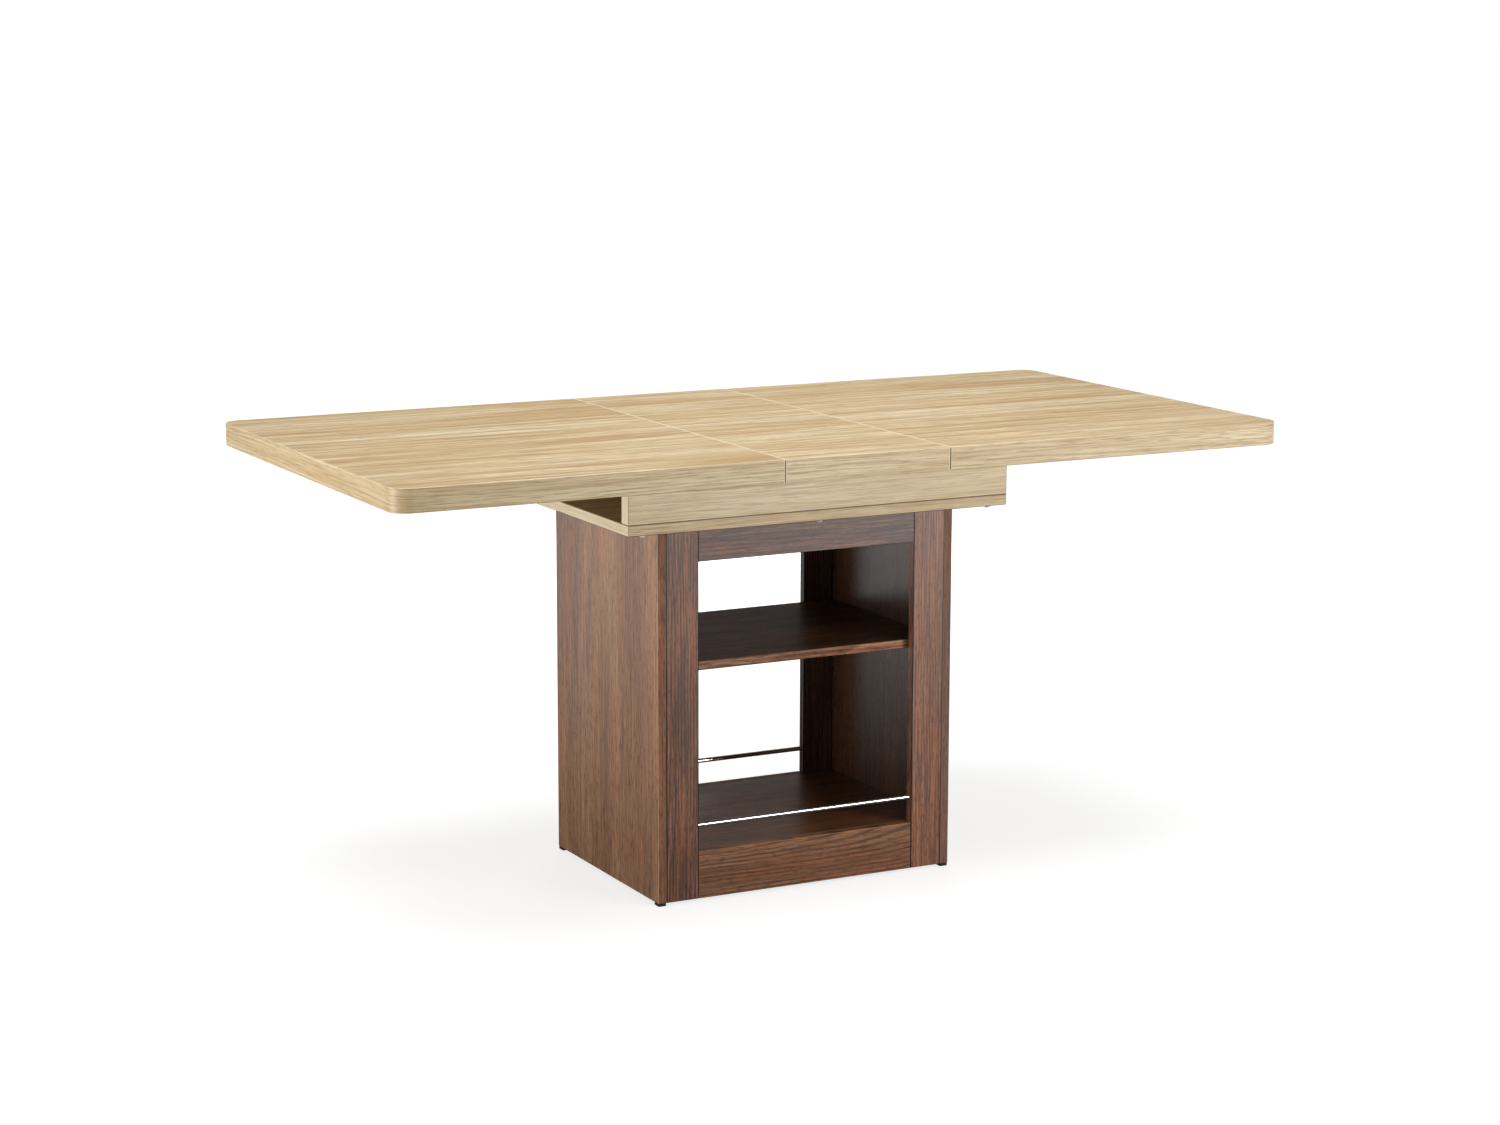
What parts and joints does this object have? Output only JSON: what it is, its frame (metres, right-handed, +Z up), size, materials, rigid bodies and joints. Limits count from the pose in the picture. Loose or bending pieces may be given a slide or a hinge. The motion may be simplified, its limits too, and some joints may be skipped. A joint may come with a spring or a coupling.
{
  "type": "extending table",
  "caption": "Pedestal dining table whose end leaves draw apart on slides to free a loose centre leaf, with an open-ended case under the top and an open shelf unit as its base.",
  "frame": {"origin": "on the floor, below the middle of the table", "axes": "+Z up, +X along the length of the table, -Y to the front seen in the picture"},
  "size_m": [1.6, 0.8, 0.76],
  "materials": {
    "oak_top": "light oak laminate, satin, grain along the table",
    "oak_case": "light oak laminate, satin, grain along the table",
    "walnut_board": "walnut laminate, satin",
    "beech": "bare beech",
    "chrome_rod": "polished chrome",
    "zinc_steel": "zinc plated",
    "runner_steel": "zinc plated, brushed",
    "rail_aluminium": "anodised, drawn lines along the rail",
    "nylon": "black nylon",
    "black_plastic": "fine grained black plastic",
    "white_plastic": "white moulded plastic",
    "felt": "pressed felt"
  },
  "bodies": {
    "base": {"left_side_panel": "walnut_board", "right_side_panel": "walnut_board", "front_left_stile": "walnut_board", "front_right_stile": "walnut_board", "rear_left_stile": "walnut_board", "rear_right_stile": "walnut_board", "front_top_rail": "walnut_board", "rear_top_rail": "walnut_board", "front_bottom_rail": "walnut_board", "rear_bottom_rail": "walnut_board", "pedestal_top_board": "walnut_board", "middle_shelf": "walnut_board", "bottom_board": "walnut_board", "front_left_foot": "black_plastic", "front_right_foot": "black_plastic", "rear_left_foot": "black_plastic", "rear_right_foot": "black_plastic", "rail_dowels": "beech", "stile_dowels": "beech", "case_dowels": "beech", "front_guard_rod": "chrome_rod", "rear_guard_rod": "chrome_rod", "shelf_pins": "zinc_steel", "cam_locks": "zinc_steel", "cam_bolts": "zinc_steel", "foot_nails": "zinc_steel", "case_screws": "zinc_steel", "pedestal_bolts": "zinc_steel", "threaded_inserts": "zinc_steel", "guide_rail_screws": "zinc_steel", "stop_screws": "zinc_steel", "case_bottom": "oak_case", "front_case_board": "oak_case", "rear_case_board": "oak_case", "front_guide_rail": "rail_aluminium", "rear_guide_rail": "rail_aluminium", "slide_stops": "nylon", "case_screw_caps": "white_plastic"},
    "left_end_leaf": {"left_leaf": "oak_top", "left_front_runner": "runner_steel", "left_rear_runner": "runner_steel", "left_front_slider": "nylon", "left_rear_slider": "nylon", "left_runner_screws": "zinc_steel", "left_slider_screws": "zinc_steel"},
    "right_end_leaf": {"right_leaf": "oak_top", "right_front_runner": "runner_steel", "right_rear_runner": "runner_steel", "right_front_slider": "nylon", "right_rear_slider": "nylon", "right_runner_screws": "zinc_steel", "right_slider_screws": "zinc_steel"},
    "centre_leaf_set": {"centre_leaf": "oak_top", "front_batten": "beech", "rear_batten": "beech", "batten_screws": "zinc_steel", "felt_pads": "felt"}
  },
  "joints": [
    {"name": "left_leaf_slide", "type": "slide", "parent": "base", "child": "left_end_leaf", "axis": [-1, 0, 0], "range_m": [0, 0.04]},
    {"name": "right_leaf_slide", "type": "slide", "parent": "base", "child": "right_end_leaf", "axis": [1, 0, 0], "range_m": [0, 0.04]},
    {"name": "centre_leaf_lift", "type": "slide", "parent": "base", "child": "centre_leaf_set", "axis": [0, 0, 1], "range_m": [0, 0.15]}
  ]
}
